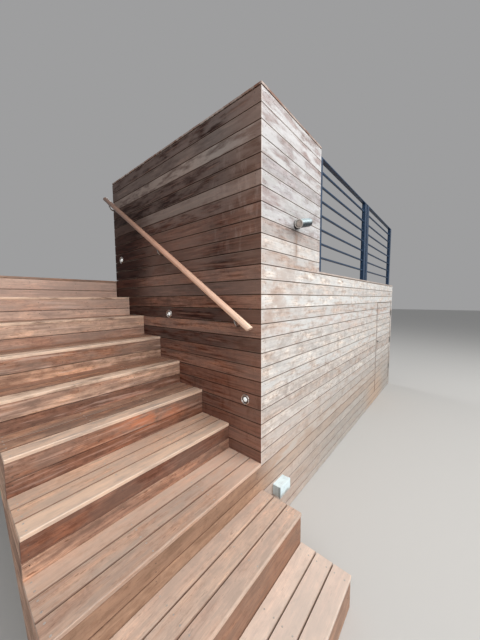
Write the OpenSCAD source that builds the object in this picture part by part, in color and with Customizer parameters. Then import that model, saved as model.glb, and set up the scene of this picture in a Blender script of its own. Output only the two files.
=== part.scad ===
// Timber deck stairs with a boarded parapet wall, a landing, a handrail and a metal balustrade.
// Model axes before centring: X runs along the treads, away from the open side of the stairs,
// Y runs up the flight, and Z is up. The outer corner of the boarded wall is at X = 0, Y = 0.

/* [Stairs] */
// Clear width of the stairs, from their open side to the boarded wall
stair_w = 1112; // [950:1:1250]
// Rise of each step
rise = 176.4; // [172:0.2:185]
// Going of each step
going = 275; // [260:1:300]
// Steps above the third tread, up to the landing
upper_steps = 7; // [7:1:7]
// How far each tread stands past the riser under it
nose_over = 3; // [1:0.5:8]
// How far the two lowest treads run past the wall corner
low_over = 6; // [4:1:20]
// Number of stringers under the flight
stringers = 4; // [3:1:6]
// Thickness of a stringer
stringer_t = 45; // [35:1:60]
// Depth of a stringer's end against the header
stringer_end = 200; // [150:1:250]

/* [Boards] */
// Width of a wall or riser board
board_w = 86; // [80:1:90]
// Gap between two boards
board_gap = 4; // [2:0.5:6]
// Thickness of every board
board_t = 19; // [16:0.5:24]
// Gap from a tread's end to the wall, and from its back edge to the riser behind it
fit_gap = 2; // [1:0.5:4]
// Gap between a tread and the riser boards above and below it
riser_gap = 1; // [0.5:0.5:3]
// Clearance of the lowest boards above the ground
foot_gap = 4; // [2:1:8]

/* [Walls] */
// Board rows of the parapet above the third tread's level
wall_rows = 25; // [24:1:27]
// Board rows from the third tread's level up to the low wall's cap
low_rows = 14; // [14:1:14]
// Board rows below the third tread's level
foot_rows = 5; // [5:1:5]
// Depth of the studs in the wall
stud_d = 70; // [60:1:90]
// Thickness of a stud across the wall's run
stud_t = 45; // [35:1:60]
// Greatest spacing of the studs
stud_pitch = 450; // [350:10:500]
// Length of the tall part of the wall on the path side
tall_len = 828; // [700:1:1000]
// Length of the whole wall on the path side
path_len = 4023; // [3950:1:4300]
// How far the caps stand past the boards
cap_over = 1; // [0:0.5:12]
// Thickness of the caps
cap_t = 13; // [10:0.5:22]
// Height of the gap that the caps leave over the topmost boards
cap_lift = 5; // [0:0.5:10]

/* [Deck] */
// Boards from the top step to the back edge of the landing
landing_boards = 12; // [10:1:14]
// Height of the joists
joist_h = 140; // [120:1:160]
// Height of the bearers
bearer_h = 140; // [120:1:160]
// Side of a square deck post
post_w = 90; // [75:1:100]
// Distance from the wall's face to the front bearer
bearer_front = 900; // [700:10:1100]
// Distance from the landing's back edge to the rear bearer
bearer_rear = 700; // [500:10:900]
// Greatest spacing of the posts under the front bearer, on both sides of the store
front_post_pitch = 1400; // [1300:10:1500]
// Greatest spacing of the posts under the rear bearer
post_pitch = 1800; // [1500:10:2000]
// Height of the header and of the door's lintel
header_h = 90; // [70:1:120]
// How far the header at the head of the flight hangs below the joists
header_drop = 100; // [60:1:140]

/* [Handrail] */
// Diameter of the handrail
rail_d = 42; // [38:1:50]
// Clear space between the handrail and the wall
rail_off = 54; // [45:1:70]
// Height of the rail's centre line above the line of the nosings
rail_h = 835; // [800:1:900]
// Place of the rail's lower end past the wall corner
rail_low_y = 30; // [20:1:60]
// Length of the handrail along the flight, measured on plan
rail_run = 1896; // [1800:1:1900]
// Slant of the rail's end cuts, measured from upright
rail_cut = 60; // [33:1:70]
// How far a bracket's arm hangs below the rail's centre line
bracket_drop = 70; // [62:1:80]
// Diameter of a bracket's arm
bracket_rod = 12; // [10:1:14]
// Radius of the bend in a bracket's arm
bracket_bend = 38; // [36:0.5:40]
// Diameter of a bracket's wall plate
bracket_plate = 44; // [40:1:60]
// Distance along the flight from the rail's lower end to the first bracket
bracket_low_in = 119; // [80:1:200]
// Distance along the flight from the last bracket to the rail's upper end
bracket_high_in = 89; // [70:1:200]
// Length of the saddle under the rail
saddle_len = 44; // [30:1:60]

/* [Balustrade] */
// Height of the top rail above the low wall's cap
guard_h = 967; // [950:1:1050]
// Width of the flat top rail across the wall
guard_rail_w = 40; // [30:1:60]
// Thickness of the flat top rail
guard_rail_t = 10; // [6:1:20]
// Width of a balustrade post along the wall
guard_post_w = 75; // [50:1:90]
// Depth of a balustrade post across the wall
guard_post_d = 40; // [30:1:50]
// Diameter of the horizontal bars
bar_d = 20; // [12:1:25]
// Spacing of the horizontal bars
bar_pitch = 121; // [110:1:123]
// Number of horizontal bars
bars = 7; // [7:1:7]
// Centre height of the lowest bar above the cap
bar_first = 136; // [125:1:140]
// Distance from the tall wall to the first post
near_post_in = 40; // [0:1:80]
// Place of the double post along the path side
double_post_x = 2265; // [2100:1:2400]
// Gap between the two middle posts
double_post_gap = 32; // [20:1:60]
// Distance from the end post to the wall's end
end_post_in = 120; // [60:1:150]

/* [Access door] */
// Width of the boarding between the door and the wall's end
door_end_w = 94; // [80:1:150]
// Width of the door
door_w = 974; // [900:1:980]
// Clearance all round the door
door_gap = 6; // [5:0.5:8]
// Height of the sill under the door
sill_h = 64; // [50:1:70]
// Board rows that run through under the door
sill_rows = 1; // [1:1:1]
// Board rows that run through over the door
head_rows = 3; // [3:1:3]
// Width of the battens behind the door's boards
batten_w = 70; // [50:1:90]
// Thickness of the battens behind the door's boards
batten_t = 35; // [25:1:45]
// Diameter of the door's knob
knob_d = 34; // [28:1:36]
// How far the knob stands out from the door
knob_out = 28; // [28:1:60]
// Distance from the knob to the door's free edge
knob_in = 45; // [35:1:70]
// Outer diameter of a hinge knuckle
knuckle_d = 12; // [10:0.5:16]
// Diameter of a hinge pin
pin_d = 6; // [4:0.5:8]
// Length of a hinge
hinge_h = 90; // [70:1:120]
// Distance from the outer hinges to the door's ends
hinge_in = 150; // [100:1:250]

/* [Fittings] */
// Outer diameter of a step light
light_d = 70; // [45:1:85]
// Diameter of a step light's lens
light_lens = 24; // [16:1:34]
// Height of a step light above the tread in front of it
light_z = 384; // [300:1:450]
// Distance of a step light from the riser below it
light_in = 125; // [100:1:160]
// Diameter of the wall spotlight's head
spot_d = 58; // [50:1:70]
// Length of the wall spotlight's head
spot_len = 160; // [140:1:200]
// Depth of the spotlight's lens behind its front
spot_recess = 12; // [8:1:20]
// Wall of the spotlight's glare ring
spot_rim = 4; // [3:1:6]
// Depth of the two grooves turned in the spotlight's head
spot_groove = 2; // [1:0.5:3]
// Width of each groove
spot_groove_w = 6; // [4:1:10]
// Distance from the spotlight's front to the first groove, and on to the second
spot_groove_pitch = 30; // [25:1:40]
// Radius of the spotlight's domed tail
spot_dome = 12; // [6:1:14]
// Diameter of the round base that holds the spotlight
spot_base = 66; // [50:1:75]
// Distance from the wall corner to the spotlight's base
spot_x = 417; // [350:1:500]
// Height of the spotlight above the third tread
spot_up = 1553; // [1500:1:1600]
// Distance from the wall to the axis of the spotlight's head
spot_out = 72; // [60:1:90]
// Downward tilt of the spotlight's head
spot_tilt = 15; // [0:1:30]
// Width of the junction box at the wall's foot
box_w = 130; // [100:1:150]
// Height of the junction box
box_h = 76; // [70:1:110]
// Depth of the junction box
box_d = 62; // [45:1:80]
// Distance from the wall corner to the junction box
box_x = 133; // [110:1:200]
// Distance from the third tread's level down to the junction box
box_down = 215; // [200:1:260]

/* [Hidden] */
$fn = 48;

wood = "#b98566";
wood_pale = "#c9b3a2";
wood_dark = "#6b4a3c";
timber_frame = "#b79b6f";
navy = "#26313f";
steel = "#c3c7c9";

pitch = board_w + board_gap;
third_z = step_z(3);
line_0 = third_z - board_t;
deck_z = step_z(3 + upper_steps);
deck_under = deck_z - board_t;
joist_low = deck_under - joist_h;
bearer_low = joist_low - bearer_h;
wall_top = line_0 + wall_rows * pitch;
low_top = line_0 + low_rows * pitch;
wall_t = 2 * board_t + stud_d;
stud_in = board_t + stud_d;
top_y = upper_steps * going;
wall_end = top_y - nose_over - fit_gap;
// Top of the ripped board at the foot of the walls
foot_top = row_z(-foot_rows) - board_gap;
tread_depth = going + nose_over - fit_gap;
tread_bw = (tread_depth - 2 * board_gap) / 3;
tread_pitch = tread_bw + board_gap;
landing_y = top_y - nose_over;
back_y = landing_y + landing_boards * tread_pitch - board_gap;
header_y = top_y + board_t;
header_low = joist_low - header_drop;
// Gap of a saw kerf between pieces that would only meet at an edge
hair = 0.4;
// Play between the door's frame and the plates above and below it
frame_play = 2 * door_gap;
skirt_in = path_len - board_t;
skirt_left = board_t - stair_w;
back_in = back_y - board_t;
bearer_back_y = back_y - bearer_rear;
side_in = board_t - low_over + nose_over;
plate_t = stud_t;

x_min = -stair_w;
x_max = path_len + cap_over;
y_min = -2 * going - nose_over;
y_max = back_y;

door_row_low = sill_rows - foot_rows;
door_row_top = low_rows - head_rows;
door_x = path_len - door_end_w - door_gap - door_w;
door_z = row_z(door_row_low) + door_gap - board_gap;
door_top = row_z(door_row_top) - door_gap;
door_end = door_x + door_w;
hinge_x = door_end + door_gap / 2;
hinge_y = -(knuckle_d / 2 + 0.5);
hinge_zs = [door_z + hinge_in, (door_z + door_top - hinge_h) / 2, door_top - hinge_in - hinge_h];
// Inset of the battens from the door's edges
batten_in = 10;
// Board row behind the knob
knob_row = 4;
hinge_plate_t = 2;
hinge_plate_w = 30;
hinge_play = 0.5;
pin_play = 0.08;

rail_x = -(rail_off + rail_d / 2);
rail_climb = rise / going;
rail_slope = atan(rail_climb);
rail_len = rail_run / cos(rail_slope);
rail_high_y = rail_low_y + rail_run;
saddle_t = 2;
saddle_w = 20;
// Play between the rail and a saddle
saddle_play = 0.2;
bracket_plate_t = 6;
bracket_boss = 14;
// Sweep of the arm's bend, from under the rail to the wall plate
bracket_turn = 140;
// The brackets sit near both ends and in the middle
bracket_ys = [rail_low_y + bracket_low_in, (rail_low_y + rail_high_y) / 2, rail_high_y - bracket_high_in];

guard_y = wall_t / 2;
low_cap_top = low_top + cap_lift + cap_t;
guard_top = low_cap_top + guard_h;
guard_under = guard_top - guard_rail_t;
end_post_x = path_len - end_post_in - guard_post_w;

light_rows = [3, 6, 9];
// How far the spotlight's base stands off the wall
spot_base_h = 20;
// Distance from the lens to the swivel that carries the head
spot_front = 100;
box_top = third_z - box_down;
lid_t = 14;
lid_step = 2;

function step_z(n) = n * rise;
function riser_y(n) = (n - 3) * going;
function row_z(k) = line_0 + k * pitch + board_gap / 2;
// The rail keeps its height above the line of the nosings
function rail_z(y) = third_z + rail_h + (y + nose_over) * rail_climb;
// Even spacing from a to b with steps no longer than s
function spread(a, b, s) = let (n = ceil((b - a) / s)) [for (i = [0:n]) a + (b - a) * i / n];

module place() {
    translate([-(x_min + x_max) / 2, -(y_min + y_max) / 2, 0]) children();
}

// A plain block given by its low and high corners
module block(low, high) {
    translate(low) cube(high - low);
}

// Treads and risers
module tread(n) {
    over = n < 3 ? low_over : -fit_gap;
    y0 = riser_y(n) - nose_over;
    color(wood) place()
        for (i = [0:2])
            block([-stair_w, y0 + i * tread_pitch, step_z(n) - board_t],
                  [over, y0 + i * tread_pitch + tread_bw, step_z(n)]);
}

// One wide board under each of the two lowest treads
module risers_low() {
    foot = [0, foot_gap, step_z(1) - board_t + riser_gap];
    color(wood) place()
        for (n = [1, 2])
            block([-stair_w, riser_y(n), foot[n]],
                  [board_t - side_in, riser_y(n) + board_t, step_z(n) - board_t - riser_gap]);
}

// The two rows under the third tread run on along the path side up to the door.
// The lower one is notched to sit on the stringers.
module riser_3() {
    seat = step_z(2) - board_t + riser_gap;
    color(wood_pale) place()
        for (k = [-2, -1]) {
            block([-stair_w, 0, max(row_z(k), seat)], [0, board_t, row_z(k) + board_w]);
            block([0, 0, row_z(k)], [door_x - door_gap, board_t, row_z(k) + board_w]);
        }
}

// A full board over a ripped one under each higher tread
module risers_high() {
    color(wood) place()
        for (n = [4:3 + upper_steps]) {
            top = step_z(n) - board_t - riser_gap;
            mid = top - board_w - board_gap;
            low = step_z(n - 1) - board_t + riser_gap;
            block([-stair_w, riser_y(n), top - board_w], [-fit_gap, riser_y(n) + board_t, top]);
            block([-stair_w, riser_y(n), low], [-fit_gap, riser_y(n) + board_t, mid]);
        }
}

// Boards that close the wall side of the two lowest steps
module step_side_boards() {
    split = step_z(1) - board_t;
    color(wood) place() {
        block([-side_in, riser_y(1) + board_t, foot_gap], [board_t - side_in, 0, split - riser_gap]);
        block([-side_in, riser_y(2) + board_t, split + riser_gap],
              [board_t - side_in, 0, step_z(2) - board_t - riser_gap]);
    }
}

// Saw-tooth outline of a stringer in the Y-Z plane
module stringer_shape() {
    last = 3 + upper_steps;
    teeth = [for (n = [1:last - 1]) each [
        [riser_y(n) + board_t, n == 1 ? 0 : step_z(n - 1) - board_t],
        [riser_y(n) + board_t, step_z(n) - board_t]
    ]];
    end_z = step_z(last - 1) - board_t;
    foot_y = header_y - (end_z - stringer_end) * going / rise;
    polygon(concat(teeth, [[header_y, end_z], [header_y, end_z - stringer_end], [foot_y, 0]]));
}

module stringers() {
    color(timber_frame) place()
        for (x = spread(-stair_w, -side_in - stringer_t, (stair_w - stringer_t) / (stringers - 1) + 1))
            translate([x, 0, 0]) rotate([90, 0, 90]) linear_extrude(stringer_t) stringer_shape();
}

// Boarded walls
// One row on the path side, mitred at the corner
module path_row(k, x1) {
    translate([0, 0, row_z(k)]) linear_extrude(board_w)
        polygon([[0, 0], [x1, 0], [x1, board_t], [board_t, board_t]]);
}

module stair_side_cladding() {
    color(wood_dark) place()
        for (k = [0:wall_rows - 1])
            translate([0, 0, row_z(k)]) linear_extrude(board_w)
                polygon([[0, 0], [board_t, board_t], [board_t, wall_end], [0, wall_end]]);
}

module path_cladding_tall() {
    color(wood_pale) place() for (k = [low_rows:wall_rows - 1]) path_row(k, tall_len);
}

module path_cladding_low() {
    color(wood_pale) place() {
        for (k = [0:door_row_top - 1]) path_row(k, door_x - door_gap);
        for (k = [door_row_low:-3])
            block([0, 0, row_z(k)], [door_x - door_gap, board_t, row_z(k) + board_w]);
    }
}

module path_cladding_over_door() {
    color(wood_pale) place() for (k = [door_row_top:low_rows - 1]) path_row(k, path_len);
}

// Rows under the door, over a ripped board that closes the foot of the wall
module path_cladding_foot() {
    color(wood_pale) place() {
        for (k = [-foot_rows:door_row_low - 1])
            block([0, 0, row_z(k)], [path_len, board_t, row_z(k) + board_w]);
        block([0, 0, foot_gap], [path_len, board_t, foot_top]);
    }
}

module path_cladding_end() {
    color(wood_pale) place()
        for (k = [door_row_low:door_row_top - 1])
            block([door_end + door_gap, 0, row_z(k)], [path_len, board_t, row_z(k) + board_w]);
}

// Boards on the deck side of the parapet and upright boards that close its two ends
module parapet_inner_boards() {
    color(wood_dark) place() {
        for (k = [low_rows:wall_rows - 1]) {
            block([stud_in, stud_in, row_z(k)], [wall_t, wall_end, row_z(k) + board_w]);
            block([wall_t + hair, stud_in, row_z(k)], [tall_len, wall_t, row_z(k) + board_w]);
        }
        block([board_t, wall_end - board_t, deck_z], [stud_in - hair, wall_end, wall_top - plate_t]);
        block([tall_len - board_t, board_t, low_top], [tall_len, stud_in - hair, wall_top - plate_t]);
    }
}

// Two cap boards that meet in a mitre over the corner
module tall_cap() {
    a = -cap_over;
    b = wall_t + cap_over;
    end = wall_end + cap_over / 2;
    color(wood) place() translate([0, 0, wall_top + cap_lift]) linear_extrude(cap_t) {
        polygon([[a, a + hair], [b, b + hair], [b, end], [a, end]]);
        polygon([[a, a], [tall_len, a], [tall_len, b], [b, b]]);
    }
}

module low_cap() {
    color(wood_pale) place()
        block([tall_len, -cap_over, low_top + cap_lift],
              [path_len + cap_over, wall_t + cap_over, low_cap_top]);
}

// Sole and top plates, with the header and sill of the door opening
module wall_plates() {
    door_a = door_x - door_gap;
    door_b = door_end + door_gap;
    color(timber_frame) place() {
        block([board_t, board_t, 0], [skirt_in, stud_in, plate_t]);
        block([board_t, stud_in + hair, 0], [stud_in, wall_end - board_t, plate_t]);
        block([stud_in + hair, board_t, wall_top - plate_t], [tall_len, stud_in, wall_top + cap_lift]);
        block([board_t, board_t, wall_top - plate_t], [stud_in, wall_end, wall_top + cap_lift]);
        block([tall_len, board_t, low_top - plate_t], [skirt_in, stud_in, low_top + cap_lift]);
        block([door_a, board_t, door_top + frame_play], [door_b, stud_in, door_top + frame_play + header_h]);
        block([door_a, board_t, door_z - frame_play - sill_h], [door_b, stud_in, door_z - frame_play]);
        block([skirt_in - stud_d, stud_in + hair, 0], [skirt_in, back_in - stud_d, plate_t]);
        block([skirt_left, back_in - stud_d + hair, 0], [skirt_in, back_in, plate_t]);
    }
}

module upright(x, y, w, d, top) {
    block([x, y, plate_t], [x + w, y + d, top]);
}

// Studs of the parapet walls, the jambs of the door, and the studs behind the skirt
module wall_studs() {
    tall = wall_top - plate_t;
    low = low_top - plate_t;
    jamb_a = door_x - door_gap - stud_t;
    color(timber_frame) place() {
        upright(board_t, board_t, stud_d, stud_d, tall);
        for (y = spread(stud_in + stud_pitch - stud_t, wall_end - board_t - stud_t, stud_pitch))
            upright(board_t, y, stud_d, stud_t, tall);
        for (x = spread(stud_in, tall_len - board_t - stud_t, stud_pitch))
            if (x > stud_in) upright(x, board_t, stud_t, stud_d, tall);
        for (x = spread(tall_len, jamb_a, stud_pitch)) upright(x, board_t, stud_t, stud_d, low);
        upright(door_end + door_gap, board_t, skirt_in - door_end - door_gap, stud_d, low);
        for (y = spread(stud_in + stud_pitch, back_in - stud_d - stud_pitch, stud_pitch))
            if (abs(y - bearer_front) > post_w && abs(y - bearer_back_y) > post_w)
                upright(skirt_in - stud_d, y, stud_d, stud_t, joist_low);
        for (x = spread(skirt_left, skirt_in - stud_t, stud_pitch))
            upright(x, back_in - stud_d, stud_t, stud_d, joist_low);
    }
}

// Deck
module landing_boards() {
    color(wood) place()
        for (i = [0:landing_boards - 1])
            block([-stair_w, landing_y + i * tread_pitch, deck_under],
                  [path_len, landing_y + i * tread_pitch + tread_bw, deck_z]);
}

// Boards over the room under the deck, with a narrow ripped board along the low wall
module deck_boards() {
    first = landing_y - tread_pitch;
    front = wall_t + cap_over + fit_gap;
    count = floor((first - front) / tread_pitch);
    last = first - count * tread_pitch;
    color(wood) place() {
        for (i = [0:count])
            block([wall_t + fit_gap, first - i * tread_pitch, deck_under],
                  [path_len, first - i * tread_pitch + tread_bw, deck_z]);
        if (last - board_gap - front > 10)
            block([wall_t + fit_gap, front, deck_under], [path_len, last - board_gap, deck_z]);
    }
}

// Boards that close the far end, the back and the short end of the landing
module deck_skirt() {
    color(wood_pale) place()
        for (k = [-foot_rows - 1:low_rows - 1]) {
            low = k < -foot_rows ? foot_gap : row_z(k);
            high = k < -foot_rows ? foot_top : k == low_rows - 1 ? deck_under - fit_gap : low + board_w;
            block([skirt_in, board_t, low], [path_len, back_in - hair, high]);
            block([-stair_w, back_in, low], [path_len, back_y, high]);
            block([-stair_w, header_y, low], [skirt_left, back_in - hair, high]);
        }
}

module deck_joists() {
    joist_t = stud_t;
    front = stud_in + joist_t;
    rear = back_in - joist_t;
    color(timber_frame) place() {
        for (x = spread(stud_in, skirt_in - joist_t, stud_pitch))
            block([x, front, joist_low], [x + joist_t, rear, deck_under]);
        for (x = spread(skirt_left, stud_in - stud_pitch, stud_pitch))
            block([x, header_y + joist_t, joist_low], [x + joist_t, rear, deck_under]);
    }
}

// Ledger on the wall, header at the head of the flight and the rim along the back
module deck_rims() {
    rim_t = stud_t;
    color(timber_frame) place() {
        block([stud_in, stud_in, joist_low], [skirt_in, stud_in + rim_t, deck_under]);
        block([skirt_left, header_y, header_low], [-fit_gap, header_y + rim_t, deck_under]);
        block([skirt_left, back_in - rim_t, joist_low], [skirt_in, back_in, deck_under]);
    }
}

module deck_bearers() {
    color(timber_frame) place() {
        block([stud_in, bearer_front, bearer_low], [skirt_in, bearer_front + post_w, joist_low]);
        block([skirt_left, bearer_back_y, bearer_low], [skirt_in, bearer_back_y + post_w, joist_low]);
    }
}

module deck_posts() {
    color(timber_frame) place() {
        for (x = spread(stud_in, skirt_in - stud_d - post_w, front_post_pitch))
            block([x, bearer_front, 0], [x + post_w, bearer_front + post_w, bearer_low]);
        for (x = spread(skirt_left, skirt_in - stud_d - post_w, post_pitch))
            block([x, bearer_back_y, 0], [x + post_w, bearer_back_y + post_w, bearer_low]);
        for (x = [skirt_left, -fit_gap - post_w])
            block([x, header_y, 0], [x + post_w, header_y + post_w, header_low]);
    }
}

// Handrail
module rail_place(y) {
    translate([rail_x, y, rail_z(y)]) rotate([rail_slope, 0, 0]) children();
}

// Everything past one end cut: side is 1 for the upper end and -1 for the lower one
module rail_offcut(y, side) {
    far = side * 3 * rail_d;
    translate([rail_x, y, rail_z(y)]) rotate([rail_cut, 0, 0])
        block([-rail_d, min(0, far), -2 * rail_d], [rail_d, max(0, far), 2 * rail_d]);
}

module handrail() {
    color("#c98d63") place() difference() {
        rail_place(rail_low_y) rotate([-90, 0, 0]) translate([0, 0, -rail_d])
            cylinder(h = rail_len + 2 * rail_d, d = rail_d);
        rail_offcut(rail_low_y, -1);
        rail_offcut(rail_high_y, 1);
    }
}

// Wall plate with its boss, an arm that bends up from it, and the curved saddle under the rail
module rail_bracket(y) {
    bend_z = rail_z(y) - bracket_drop + bracket_bend;
    plate_z = bend_z - bracket_bend * sin(bracket_turn);
    saddle_r = rail_d / 2 + saddle_t;
    difference() {
        union() {
            translate([-bracket_plate_t, y, plate_z]) rotate([0, 90, 0])
                cylinder(h = bracket_plate_t, d = bracket_plate);
            translate([-bracket_boss, y, plate_z]) rotate([0, 90, 0])
                cylinder(h = bracket_boss, d = bracket_plate / 2);
            translate([rail_x + bracket_bend, y, bend_z]) rotate([90, 0, 0]) rotate([0, 0, 180])
                rotate_extrude(angle = bracket_turn) translate([bracket_bend, 0]) circle(d = bracket_rod);
            translate([rail_x, y, bend_z]) cylinder(h = rail_z(y) - bend_z, d = bracket_rod);
            translate([rail_x, y, bend_z - 2]) cylinder(h = 4, d = bracket_rod + 1);
            rail_place(y) intersection() {
                rotate([90, 0, 0]) cylinder(h = saddle_len, r = saddle_r, center = true);
                translate([-saddle_w / 2, -saddle_len / 2, -rail_d]) cube([saddle_w, saddle_len, rail_d]);
            }
        }
        rail_place(y) rotate([90, 0, 0])
            cylinder(h = 3 * saddle_len, d = rail_d + 2 * saddle_play, center = true);
    }
}

module rail_brackets() {
    color(steel) place() for (y = bracket_ys) rail_bracket(y);
}

// Metal balustrade on the low wall
// Posts at both ends and the bars between them, welded into one panel
module guard_panel(x0, x1) {
    front = guard_y - guard_post_d / 2;
    for (x = [x0, x1])
        block([x, front, low_cap_top], [x + guard_post_w, front + guard_post_d, guard_under]);
    for (i = [0:bars - 1])
        translate([x0 + guard_post_w / 2, guard_y, low_cap_top + bar_first + i * bar_pitch])
            rotate([0, 90, 0]) cylinder(h = x1 - x0, d = bar_d);
}

module balustrade_near_panel() {
    color(navy) place() guard_panel(tall_len + near_post_in, double_post_x);
}

module balustrade_far_panel() {
    color(navy) place() guard_panel(double_post_x + guard_post_w + double_post_gap, end_post_x);
}

module balustrade_top_rail() {
    color(navy) place()
        block([tall_len, guard_y - guard_rail_w / 2, guard_under],
              [end_post_x + guard_post_w, guard_y + guard_rail_w / 2, guard_top]);
}

// Fittings
// A rounded ring round a shallow cup with a small domed lens in it
module step_light() {
    r = light_d / 2;
    lens = light_lens / 2;
    rotate([0, -90, 0]) rotate_extrude()
        polygon(concat(
            [[0, 0], [r, 0]],
            [for (a = [0:15:180]) [r - 5 + 5 * cos(a), 3 + 6 * sin(a)]],
            [[lens + 5, 2], [lens, 2]],
            [for (a = [15:15:90]) [lens * cos(a), 2 + 6 * sin(a)]]));
}

module step_lights() {
    color(steel) place()
        for (n = light_rows)
            translate([0, riser_y(n) + light_in, step_z(n) + light_z]) step_light();
}

// Round base, swivel stem and a tubular head that points back along the wall
module wall_spotlight() {
    color(steel) place() translate([spot_x, 0, third_z + spot_up]) {
        rotate([90, 0, 0]) cylinder(h = spot_base_h, d = spot_base);
        rotate([90, 0, 0]) cylinder(h = spot_out, d = spot_d / 4);
        translate([0, -spot_out, 0]) rotate([0, 90 - spot_tilt, 0]) translate([0, 0, -spot_front])
            rotate_extrude() spot_profile();
    }
}

// Half section of the head: a glare ring, the lens set back in it, two grooves and a domed tail
module spot_profile() {
    r = spot_d / 2;
    tail = spot_len - spot_dome;
    slope = spot_groove / 2;
    polygon(concat(
        [[0, spot_recess], [r - spot_rim, spot_recess], [r - spot_rim, 0], [r, 0]],
        [for (at = [1, 2] * spot_groove_pitch) each [
            [r, at],
            [r - spot_groove, at + slope],
            [r - spot_groove, at + spot_groove_w - slope],
            [r, at + spot_groove_w]]],
        [for (a = [0:15:90]) [r - spot_dome + spot_dome * cos(a), tail + spot_dome * sin(a)]],
        [[0, spot_len]]));
}

// A box with a slightly larger lid on its front
module junction_box() {
    s = lid_step;
    color("#c9ced0") place() {
        block([box_x + s, -box_d + lid_t, box_top - box_h + s], [box_x + box_w - s, 0, box_top - s]);
        block([box_x, -box_d, box_top - box_h], [box_x + box_w, -box_d + lid_t, box_top]);
    }
}

// Access door under the deck
module door_boards() {
    color(wood_pale) place()
        for (k = [door_row_low:door_row_top - 1]) {
            low = k == door_row_low ? door_z : row_z(k);
            high = k == door_row_top - 1 ? door_top : row_z(k) + board_w;
            block([door_x, 0, low], [door_end, board_t, high]);
        }
}

module door_battens() {
    x0 = door_x + batten_in;
    x1 = door_end - batten_in;
    z0 = door_z + batten_in;
    z1 = door_top - batten_in;
    y0 = board_t;
    y1 = board_t + batten_t;
    color(timber_frame) place() difference() {
        block([x0, y0, z0], [x1, y1, z1]);
        for (i = [0, 1], j = [0, 1]) {
            w = (x1 - x0 - 3 * batten_w) / 2;
            h = (z1 - z0 - 3 * batten_w) / 2;
            x = x0 + batten_w + i * (w + batten_w);
            z = z0 + batten_w + j * (h + batten_w);
            block([x, y0 - 1, z], [x + w, y1 + 1, z + h]);
        }
    }
}

module door_knob() {
    z = row_z(knob_row) + board_w / 2;
    color(steel) place() translate([door_x + knob_in, 0, z]) rotate([90, 0, 0]) rotate_extrude()
        polygon(concat(
            [[0, 0], [knob_d / 2 + 4, 0], [knob_d / 2 + 4, 3]],
            [[knob_d / 4, 5], [knob_d / 4, knob_out - knob_d * 0.6]],
            [for (a = [-60:15:75]) [knob_d / 2 * cos(a), knob_out - knob_d * 0.3 + knob_d * 0.3 * sin(a)]],
            [[0, knob_out]]));
}

// Moving leaf: a plate on the door with the middle knuckle
module door_hinge_leaves() {
    third = hinge_h / 3;
    color(steel) place()
        for (z = hinge_zs) difference() {
            union() {
                block([hinge_x - knuckle_d / 2 - 1 - hinge_plate_w, -hinge_plate_t, z],
                      [hinge_x - knuckle_d / 2 - 1, 0, z + hinge_h]);
                block([hinge_x - knuckle_d / 2 - 2, -hinge_plate_t, z + third + hinge_play],
                      [hinge_x, 0, z + 2 * third - hinge_play]);
                translate([hinge_x, hinge_y, z + third + hinge_play])
                    cylinder(h = third - 2 * hinge_play, d = knuckle_d);
            }
            translate([hinge_x, hinge_y, z]) cylinder(h = hinge_h, d = pin_d + 2 * pin_play);
        }
}

// Fixed leaf: a plate beside the door with the end knuckles and the pin
module frame_hinge_leaves() {
    third = hinge_h / 3;
    color(steel) place()
        for (z = hinge_zs) {
            block([hinge_x + knuckle_d / 2 + 1, -hinge_plate_t, z],
                  [hinge_x + knuckle_d / 2 + 1 + hinge_plate_w, 0, z + hinge_h]);
            for (low = [z, z + 2 * third]) {
                block([hinge_x, -hinge_plate_t, low], [hinge_x + knuckle_d / 2 + 2, 0, low + third]);
                translate([hinge_x, hinge_y, low]) cylinder(h = third, d = knuckle_d);
            }
            translate([hinge_x, hinge_y, z]) cylinder(h = hinge_h, d = pin_d);
        }
}

tread(1);  // tread_1
tread(2);  // tread_2
tread(3);  // tread_3
tread(4);  // tread_4
tread(5);  // tread_5
tread(6);  // tread_6
tread(7);  // tread_7
tread(8);  // tread_8
tread(9);  // tread_9
risers_low();
riser_3();
risers_high();
step_side_boards();
stringers();
stair_side_cladding();
path_cladding_tall();
path_cladding_low();
path_cladding_over_door();
path_cladding_foot();
path_cladding_end();
parapet_inner_boards();
tall_cap();
low_cap();
wall_plates();
wall_studs();
landing_boards();
deck_boards();
deck_skirt();
deck_joists();
deck_rims();
deck_bearers();
deck_posts();
handrail();
rail_brackets();
balustrade_near_panel();
balustrade_far_panel();
balustrade_top_rail();
step_lights();
wall_spotlight();
junction_box();
door_boards();
door_battens();
door_knob();
door_hinge_leaves();
frame_hinge_leaves();
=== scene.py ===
import math
import random

import bpy
from mathutils import Matrix, Vector


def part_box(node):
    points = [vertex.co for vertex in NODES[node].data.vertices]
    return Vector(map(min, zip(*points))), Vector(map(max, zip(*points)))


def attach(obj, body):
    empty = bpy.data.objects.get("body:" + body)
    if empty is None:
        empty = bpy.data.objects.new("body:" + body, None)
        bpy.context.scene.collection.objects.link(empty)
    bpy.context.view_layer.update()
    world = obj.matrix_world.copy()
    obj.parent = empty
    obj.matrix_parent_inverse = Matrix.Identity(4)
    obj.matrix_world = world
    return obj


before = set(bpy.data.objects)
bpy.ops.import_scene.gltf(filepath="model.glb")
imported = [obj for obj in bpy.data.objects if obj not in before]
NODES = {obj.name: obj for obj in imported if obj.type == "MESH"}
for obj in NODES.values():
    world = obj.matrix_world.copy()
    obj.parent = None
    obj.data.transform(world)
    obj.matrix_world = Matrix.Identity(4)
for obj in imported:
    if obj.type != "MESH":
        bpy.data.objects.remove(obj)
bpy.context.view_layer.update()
ROOT = "stairs"
DOOR = "access_door"

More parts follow.
